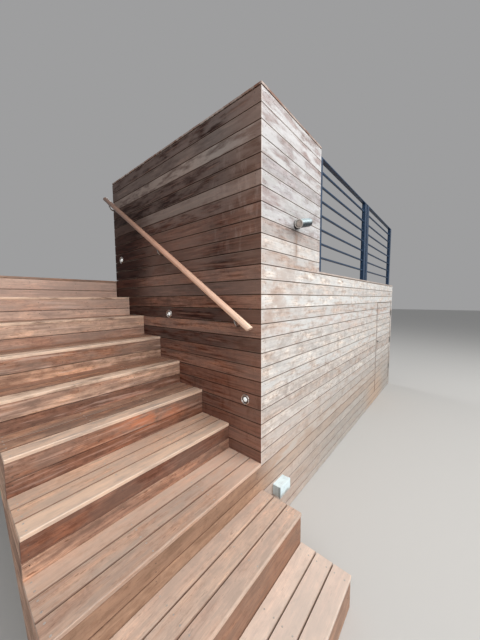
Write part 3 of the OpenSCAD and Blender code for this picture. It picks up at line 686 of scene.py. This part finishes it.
def spot_metal():
    """Satin metal with a painted sky reflection on top and painted shade below, a bright front ring, and a
    tail and base darkened below in painted shade.
    """
    g = Graph("spot_metal")
    pivot = spot_pivot()
    x, z = g.sub(g.x, pivot.x), g.sub(g.z, pivot.z)
    height = g.sub(z, g.mul(x, math.tan(SPOT_TILT)))
    spots = g.noise(g.point, scale=70.0, detail=4.0, rough=0.6)
    # painted reflection of the sky on top, painted shade below
    painted_sky_top = g.between(g.add(height, g.mul(g.sub(spots, 0.5), 0.02)), -0.012, 0.012)
    colour = g.mix(painted_sky_top, (0.07, 0.085, 0.10), (0.70, 0.84, 0.88))
    ahead = g.add(g.mul(x, SPOT_AXIS.x), g.mul(z, SPOT_AXIS.z))
    ring = g.between(ahead, 0.004 - SPOT_FRONT, 0.002 - SPOT_FRONT, 0.85)
    colour = g.mix(ring, colour, (0.86, 0.83, 0.79))
    # painted shade under the tail
    tail = g.mul(g.between(x, 0.02, 0.06), g.between(height, 0.012, -0.004))
    colour = g.mix(tail, colour, (0.015, 0.02, 0.03))
    # the base near the wall: dark below in painted shade, paler above
    base = g.between(g.y, SPOT[1].y - 0.03, SPOT[1].y - 0.015)
    colour = g.mix(base, colour, g.mix(g.between(height, 0.0, 0.03), (0.05, 0.05, 0.055), (0.40, 0.42, 0.43)))
    g.set(Base_Color=colour, Metallic=0.75, Roughness=g.add(0.28, g.mul(spots, 0.16)), Specular_IOR_Level=0.5)
    g.bump(spots, 0.08, 0.0004)
    return g.mat


def light_metal():
    """Bright ring round a dark cup."""
    g = Graph("light_metal")
    nearest = None
    for c in light_centres():
        across, up = (g.math("POWER", g.sub(g.y, c.y), 2.0), g.math("POWER", g.sub(g.z, c.z), 2.0))
        distance = g.math("SQRT", g.add(across, up))
        nearest = distance if nearest is None else g.math("MINIMUM", nearest, distance)
    spots = g.noise(g.point, scale=90.0, detail=3.0)
    ring = g.between(nearest, LIGHT_R - 0.0115, LIGHT_R - 0.009)
    bright = g.mix(g.between(spots, 0.4, 0.65), (0.66, 0.62, 0.60), (0.50, 0.46, 0.44))
    g.set(Base_Color=g.mix(ring, (0.15, 0.12, 0.11), bright), Metallic=g.add(0.3, g.mul(ring, 0.7)),
          Roughness=g.add(0.16, g.mul(spots, 0.12)), Specular_IOR_Level=0.5)
    g.bump(spots, 0.05, 0.0003)
    return g.mat


def box_plastic():
    """Moulded grey plastic, dusty and scuffed, with soil splashed on its lower edge and painted shade on its
    face towards -X.
    """
    g = Graph("grey_plastic")
    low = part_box("junction_box")[0]
    cloud = g.noise(g.point, scale=22.0, detail=4.0, rough=0.65)
    speck = g.noise(g.point, scale=260.0, detail=2.0)
    colour = g.mix(g.between(cloud, 0.42, 0.66), (0.80, 0.95, 1.0), (0.66, 0.79, 0.84))
    # painted shade: the face towards -X darker
    colour = g.shade(g.between(g.x, low.x + 0.003, low.x + 0.001, 0.9), colour, (0.50, 0.52, 0.54))
    colour = g.shade(g.between(speck, 0.62, 0.72, 0.5), colour, (0.55, 0.52, 0.50))
    soil = g.mul(g.between(g.z, low.z + 0.035, low.z + 0.004), g.between(cloud, 0.35, 0.6))
    colour = g.mix(g.mul(soil, 0.7), colour, (0.24, 0.19, 0.15))
    g.set(Base_Color=colour, Roughness=g.add(0.45, g.mul(cloud, 0.2)), Specular_IOR_Level=0.4)
    g.bump(speck, 0.15, 0.0003)
    return g.mat


def lens_glass(name, colour, dirt, glow=0.0):
    """Cloudy glass with dirt on it; glow is a painted glow that makes the unlit lens a little pale in the
    shade.
    """
    g = Graph(name)
    cloud = g.noise(g.point, scale=120.0, detail=3.0, rough=0.6)
    g.set(Base_Color=g.mix(g.between(cloud, 0.45, 0.7), colour, dirt),
          Roughness=g.add(0.1, g.mul(cloud, 0.25)), Specular_IOR_Level=0.6, Coat_Weight=0.5,
          Emission_Color=colour, Emission_Strength=glow)
    g.bump(cloud, 0.1, 0.0003)
    return g.mat


# ---------------------------------------------------------------- the CAD nodes' looks
# Widths of the rounded arrises
TREAD_ARRIS = 0.0025
TIMBER_ARRIS = 0.002
RISER_ARRIS = 0.0018
CLADDING_ARRIS = 0.0015
FITTING_ARRIS = 0.002


def finish(material, arris, *nodes, segments=2):
    """Gives CAD nodes their material and, where they have sharp arrises, rounded ones."""
    for node in nodes:
        obj = NODES[node]
        obj.data.materials.clear()
        obj.data.materials.append(material)
        if arris is None:
            continue
        weld = obj.modifiers.new("weld", "WELD")
        weld.merge_threshold = 0.00002
        round_over = obj.modifiers.new("arris", "BEVEL")
        round_over.width = arris
        round_over.segments = segments
        round_over.limit_method = "ANGLE"
        round_over.angle_limit = math.radians(40)
        round_over.use_clamp_overlap = True
        round_over.harden_normals = True


def dress_boards():
    finish(tread_wood(), TREAD_ARRIS, *(f"tread_{n}" for n in range(1, TREADS + 1)))
    finish(deck_wood(), TREAD_ARRIS, "landing_boards", "deck_boards")
    finish(riser_wood(), RISER_ARRIS, "risers_low", "risers_high")
    finish(riser_3_wood(), RISER_ARRIS, "riser_3", "step_side_boards")
    finish(side_wood("side_wood", 21.0, True), CLADDING_ARRIS, "stair_side_cladding")
    finish(side_wood("inner_wood", 25.0, False), CLADDING_ARRIS, "parapet_inner_boards")
    finish(path_wood("path_wood", 31.0, True), CLADDING_ARRIS, "path_cladding_tall", "path_cladding_low",
           "path_cladding_over_door", "path_cladding_foot", "path_cladding_end", "door_boards")
    finish(path_wood("skirt_wood", 35.0, False), CLADDING_ARRIS, "deck_skirt")
    finish(cap_wood("tall_cap_wood", TALL_CAP_TONES, 51.0), CLADDING_ARRIS, "tall_cap")
    finish(cap_wood("low_cap_wood", PATH_TONES, 53.0), CLADDING_ARRIS, "low_cap")
    finish(stringer_wood(), TIMBER_ARRIS, "stringers")
    finish(frame_wood(), TIMBER_ARRIS, "wall_plates", "wall_studs", "deck_joists", "deck_rims",
           "deck_bearers", "deck_posts", "door_battens")


def dress_fittings():
    navy = metal("guard_metal", (0.018, 0.046, 0.098), 0.36, metallic=0.0, wear=0.3, scale=25.0, gloss=0.35)
    steel = metal("fitting_metal", (0.50, 0.49, 0.47), 0.34, wear=0.3)
    bracket = metal("bracket_metal", (0.42, 0.40, 0.39), 0.22, wear=0.45, scale=110.0)
    finish(rail_wood(), FITTING_ARRIS, "handrail", segments=3)
    finish(navy, FITTING_ARRIS, "balustrade_near_panel", "balustrade_far_panel", "balustrade_top_rail")
    finish(box_plastic(), FITTING_ARRIS, "junction_box")
    finish(steel, None, "door_knob", "door_hinge_leaves", "frame_hinge_leaves")
    finish(bracket, None, "rail_brackets")
    finish(spot_metal(), None, "wall_spotlight")
    finish(light_metal(), None, "step_lights")


# ---------------------------------------------------------------- small pieces
def add_mesh(name, verts, faces, material, body):
    """A new piece of the part, on its body and with its material slot."""
    mesh = bpy.data.meshes.new(name)
    mesh.from_pydata([tuple(v) for v in verts], [], faces)
    mesh.materials.append(material)
    obj = bpy.data.objects.new(name, mesh)
    bpy.context.scene.collection.objects.link(obj)
    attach(obj, body)
    return obj


def circle(origin, normal, radius, height, sides):
    """Points round an axis, at a height over its origin."""
    n = Vector(normal)
    u = n.orthogonal().normalized()
    v = n.cross(u)
    turns = (2 * math.pi * i / sides for i in range(sides))
    return [origin + u * (radius * math.cos(a)) + v * (radius * math.sin(a)) + n * height for a in turns]


def skin(start, rings, sides):
    """Faces that join rings of points, and close the last ring on the one point after it."""
    faces = []
    for k in range(rings):
        a = start + k * sides
        for i in range(sides):
            j = (i + 1) % sides
            if k < rings - 1:
                faces.append((a + i, a + j, a + sides + j, a + sides + i))
            else:
                faces.append((a + i, a + j, a + sides))
    return faces


class Heads:
    """Many low screw or nail heads gathered into one mesh."""

    SIDES = 8
    # Rings of one head, as shares of its radius and its height, and the height of its dimpled middle
    RINGS = ((1.0, 0.0), (0.97, 0.6), (0.6, 1.0))
    MIDDLE = 0.55

    def __init__(self):
        self.verts, self.faces = [], []

    def add(self, centre, normal, radius, height):
        start = len(self.verts)
        for r, h in self.RINGS:
            self.verts += circle(centre, normal, radius * r, height * h, self.SIDES)
        self.verts.append(centre + Vector(normal) * (height * self.MIDDLE))
        self.faces += skin(start, len(self.RINGS), self.SIDES)

    def make(self, name, material, body=ROOT):
        add_mesh(name, self.verts, self.faces, material, body)


# Radius and height of the heads
NAIL_R = 0.0026
NAIL_UP = 0.0006
SCREW_R = 0.0042
SCREW_UP = 0.0004
# Where they are driven in
PAIR = 0.024                         # half the distance between a wall board's two nails
SCATTER = 0.003                      # how far off a head may be
WALL_EDGE = 0.045                    # nails beside a board's end
FIRST_STUD = 0.112                   # the stud next to the corner
STAIR_END = 0.05                     # nails beside the far end of the stair side
DOOR_GAP = 0.006                     # play beside the door's boards
DOOR_FAR_EDGE = 0.06                 # the door's nails beside its far edge
SCREW_EDGE = 0.02                    # screws beside a board's long edge
STRINGER_T = 0.045
JOIST_HALF = 0.022
RISER_FACE = 0.003                   # a riser's face lies this far behind its tread's front
RISER_NAILS = (0.045, 0.087, 0.130)  # below the tread's top; the last is in the lower board
FIRST_RISER_NAILS = RISER_NAILS[:2]  # the first riser is lower
UP = (0, 0, 1)
TO_PATH = (0, -1, 0)
TO_STAIR = (-1, 0, 0)
rng = random.Random(7)


def jitter():
    return rng.uniform(-SCATTER, SCATTER)


def row_middle(k):
    return ROW_0 + (k + 0.5) * ROW_PITCH


def wall_nails(heads, xs, rows):
    """Pairs of nails in the path side's boards."""
    for k in rows:
        for x in xs:
            for side in (-1, 1):
                spot = Vector((x + jitter(), CORNER_Y, row_middle(k) + side * PAIR + jitter()))
                heads.add(spot, TO_PATH, NAIL_R, NAIL_UP)


def add_path_nails(material):
    """Nails of the path side: the tall wall, the low wall beside and over the door, and the door."""
    low, high = DOOR_BOX
    first, second = CORNER_X + WALL_EDGE, CORNER_X + FIRST_STUD
    tall = [first] + spread(second, TALL_END_X - WALL_EDGE, STUD_PITCH / 2)[1:]
    beside = [first] + spread(second, low.x - DOOR_GAP - WALL_EDGE, STUD_PITCH)[1:]
    hinge_side, middle, end = low.x + WALL_EDGE, (low.x + high.x) / 2, WALL_END_X - WALL_EDGE
    full = beside + [hinge_side, middle, end]
    foot_row, head_row = (round((z - ROW_0) / ROW_PITCH) for z in (low.z, high.z))
    heads = Heads()
    wall_nails(heads, tall, range(LOW_ROWS, ROWS))
    wall_nails(heads, beside, range(foot_row, head_row))
    wall_nails(heads, full, range(head_row, LOW_ROWS))
    wall_nails(heads, full, range(foot_row - 1, foot_row))
    wall_nails(heads, [end], range(foot_row, head_row))
    heads.make("path_nails", material)
    door = Heads()
    wall_nails(door, [hinge_side, middle, high.x - DOOR_FAR_EDGE], range(foot_row, head_row))
    door.make("door_nails", material, DOOR)


def add_side_nails(material):
    """Pairs of nails in the stair side's boards."""
    heads = Heads()
    ys = [CORNER_Y + WALL_EDGE] + spread(CORNER_Y + FIRST_STUD, STAIR_END_Y - STAIR_END, STUD_PITCH)[1:]
    for k in range(ROWS):
        for y in ys:
            for side in (-1, 1):
                spot = Vector((CORNER_X, y + jitter(), row_middle(k) + side * PAIR + jitter()))
                heads.add(spot, TO_STAIR, NAIL_R, NAIL_UP)
    heads.make("side_nails", material)


def stringer_lines():
    """The middles of the four stringers."""
    low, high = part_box("stringers")
    return [x + STRINGER_T / 2 for x in spread(low.x, high.x - STRINGER_T, (high.x - low.x) / 3)]


def add_riser_nails(material):
    heads = Heads()
    lines = stringer_lines()
    for n in range(1, TREADS + 2):
        face = TREAD_3[0].y + RISER_FACE + (n - 3) * GOING
        top = TREAD_3[1].z + (n - 3) * RISE
        for x in lines:
            for drop in FIRST_RISER_NAILS if n == 1 else RISER_NAILS:
                heads.add(Vector((x + jitter(), face, top - drop + jitter())), TO_PATH, NAIL_R, NAIL_UP)
    heads.make("riser_nails", material)


def board_screws(heads, xs, low, high, top):
    """A pair of screws in one board over each bearer line."""
    middle = (low + high) / 2
    reach = (high - low) / 2 - SCREW_EDGE
    for x in xs:
        for side in (-1, 1):
            heads.add(Vector((x + jitter(), middle + side * reach + jitter(), top)), UP, SCREW_R, SCREW_UP)


def add_tread_screws(material):
    heads = Heads()
    lines = stringer_lines()
    for n in range(1, TREADS + 1):
        low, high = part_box(f"tread_{n}")
        for i in range(TREAD_BOARDS):
            start = low.y + i * TREAD_PITCH
            board_screws(heads, lines, start, start + TREAD_PITCH - BOARD_GAP, high.z)
    heads.make("tread_screws", material)


def add_deck_screws(material):
    """Screws in the landing's boards, and in the deck's boards from the landing forwards."""
    heads = Heads()
    frame_low, frame_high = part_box("deck_joists")
    joists = spread(frame_low.x + JOIST_HALF, frame_high.x - JOIST_HALF, STUD_PITCH)
    width = DECK_PITCH - BOARD_GAP
    for i in range(LANDING_BOARDS):
        start = LANDING[0].y + i * DECK_PITCH
        board_screws(heads, joists, start, start + width, LANDING[1].z)
    low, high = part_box("deck_boards")
    inner = [x for x in joists if x > low.x + 0.02]
    start = LANDING[0].y - DECK_PITCH
    while start > low.y - 0.001:
        board_screws(heads, inner, start, start + width, high.z)
        start -= DECK_PITCH
    heads.make("deck_screws", material)


def lathe(name, profile, origin, axis, material, sides=32):
    """Turns (radius, height) points round the axis; the last point closes on the axis."""
    axis = Vector(axis).normalized()
    verts = [v for r, h in profile for v in circle(origin, axis, r, h, sides)]
    verts.append(origin + axis * profile[-1][1])
    obj = add_mesh(name, verts, skin(0, len(profile), sides), material, ROOT)
    obj.data.shade_smooth()


def dome(radius, start, rise, steps=6):
    """The profile of a low dome, from its rim to its top."""
    turns = (math.pi / 2 * i / steps for i in range(steps))
    side = [(radius * math.cos(a), start + rise * math.sin(a)) for a in turns]
    return side + [(radius * 0.02, start + rise)]


# The lenses: radius, foot, rim and rise of the dome, from the wall's face and from the spotlight's front
STEP_LENS = (0.015, 0.0018, 0.0024, 0.0064)
SPOT_LENS = (SPOT_R - 0.0046, -0.0115, -0.0105, 0.004)
SPOT_LENS_FOOT_R = SPOT_R - 0.0045


def add_lenses():
    radius, foot, rim, rise = STEP_LENS
    # the step lenses get a painted glow; their lamps are not lit
    white = lens_glass("step_lens", (0.91, 0.97, 0.97), (0.84, 0.90, 0.90), glow=0.35)
    for n, centre in enumerate(light_centres(), 1):
        profile = [(radius, foot)] + dome(radius, rim, rise)
        lathe(f"step_lens_{n}", profile, centre, TO_STAIR, white)
    radius, foot, rim, rise = SPOT_LENS
    glass = lens_glass("spot_lens", (0.44, 0.38, 0.34), (0.56, 0.49, 0.44))
    profile = [(SPOT_LENS_FOOT_R, foot)] + dome(radius, rim, rise)
    lathe("spot_lens", profile, spot_pivot() - SPOT_AXIS * SPOT_FRONT, -SPOT_AXIS, glass)


def add_small_pieces():
    nail = metal("nail_steel", (0.14, 0.105, 0.085), 0.5, metallic=0.4, wear=0.4, scale=400.0)
    screw = metal("screw_steel", (0.62, 0.58, 0.54), 0.4, metallic=0.5, wear=0.35, scale=400.0)
    add_path_nails(nail)
    add_side_nails(nail)
    add_riser_nails(nail)
    add_tread_screws(screw)
    add_deck_screws(screw)
    add_lenses()


# ---------------------------------------------------------------- studio
# The camera, from the walls' corner and the ground; yaw turns it from +Y towards +X
CAMERA_AT = (-1.23449, -0.88696, 1.5615)
CAMERA_YAW = 0.8637
CAMERA_PITCH = -0.0819
CAMERA_ROLL = -0.0059
FOCAL_PX = 252.913
FRAME_PX = 480.0
SENSOR_MM = 36.0
CLIP_START = 0.05

FLOOR_HALF = 40.0
FLOOR_COLOUR = (0.58, 0.58, 0.57)
SKY_COLOUR = (0.90, 0.90, 0.91, 1.0)
SKY_STRENGTH = 0.38
# Soft lights, from the walls' corner: place, target, size, power and colour
LIGHTS = {
    "key": ((3.5, -6.0, 5.5), (1.2, 0.0, 1.2), (6.0, 4.0), 380.0, (1.0, 0.98, 0.95)),
    "front": ((-3.8, -5.6, 4.6), (-0.6, 1.0, 1.1), (4.5, 3.0), 230.0, (1.0, 0.97, 0.94)),
    "back": ((4.5, 9.0, 6.5), (1.6, 2.4, 1.0), (6.0, 4.0), 320.0, (1.0, 0.98, 0.96)),
    "top": ((-0.4, -1.6, 4.4), (-0.4, -0.2, 0.4), (2.6, 2.2), 45.0, (1.0, 0.97, 0.94)),
}


def add_camera():
    data = bpy.data.cameras.new("camera")
    data.sensor_fit = "HORIZONTAL"
    data.sensor_width = SENSOR_MM
    data.lens = FOCAL_PX / FRAME_PX * SENSOR_MM
    data.clip_start = CLIP_START
    cam = bpy.data.objects.new("camera", data)
    level = math.cos(CAMERA_PITCH)
    forward = Vector((math.sin(CAMERA_YAW) * level, math.cos(CAMERA_YAW) * level, math.sin(CAMERA_PITCH)))
    right = Vector((math.cos(CAMERA_YAW), -math.sin(CAMERA_YAW), 0.0))
    up = right.cross(forward)
    right, up = (right * math.cos(CAMERA_ROLL) + up * math.sin(CAMERA_ROLL),
                 up * math.cos(CAMERA_ROLL) - right * math.sin(CAMERA_ROLL))
    turn = Matrix((right, up, -forward)).transposed()
    cam.matrix_world = Matrix.Translation(at(*CAMERA_AT)) @ turn.to_4x4()
    bpy.context.scene.collection.objects.link(cam)
    bpy.context.scene.camera = cam


def add_light(name, place, target, size, power, colour):
    data = bpy.data.lights.new(name, "AREA")
    data.shape = "RECTANGLE"
    data.size, data.size_y = size
    data.energy = power
    data.color = colour
    lamp = bpy.data.objects.new(name, data)
    lamp.location = at(*place)
    lamp.rotation_euler = (at(*target) - at(*place)).to_track_quat("-Z", "Y").to_euler()
    bpy.context.scene.collection.objects.link(lamp)


def add_floor():
    mesh = bpy.data.meshes.new("floor")
    corners = [(x * FLOOR_HALF, y * FLOOR_HALF, 0) for x, y in ((-1, -1), (1, -1), (1, 1), (-1, 1))]
    mesh.from_pydata(corners, [], [(0, 1, 2, 3)])
    g = Graph("floor")
    g.set(Base_Color=FLOOR_COLOUR, Roughness=0.9)
    mesh.materials.append(g.mat)
    floor = bpy.data.objects.new("floor", mesh)
    bpy.context.scene.collection.objects.link(floor)


def add_studio():
    add_floor()
    world = bpy.data.worlds.new("studio")
    bpy.context.scene.world = world
    world.use_nodes = True
    back = world.node_tree.nodes["Background"]
    back.inputs[0].default_value = SKY_COLOUR
    back.inputs[1].default_value = SKY_STRENGTH
    for name, light in LIGHTS.items():
        add_light(name, *light)


dress_boards()
dress_fittings()
add_small_pieces()
add_camera()
add_studio()
bpy.context.scene.view_settings.view_transform = "Standard"
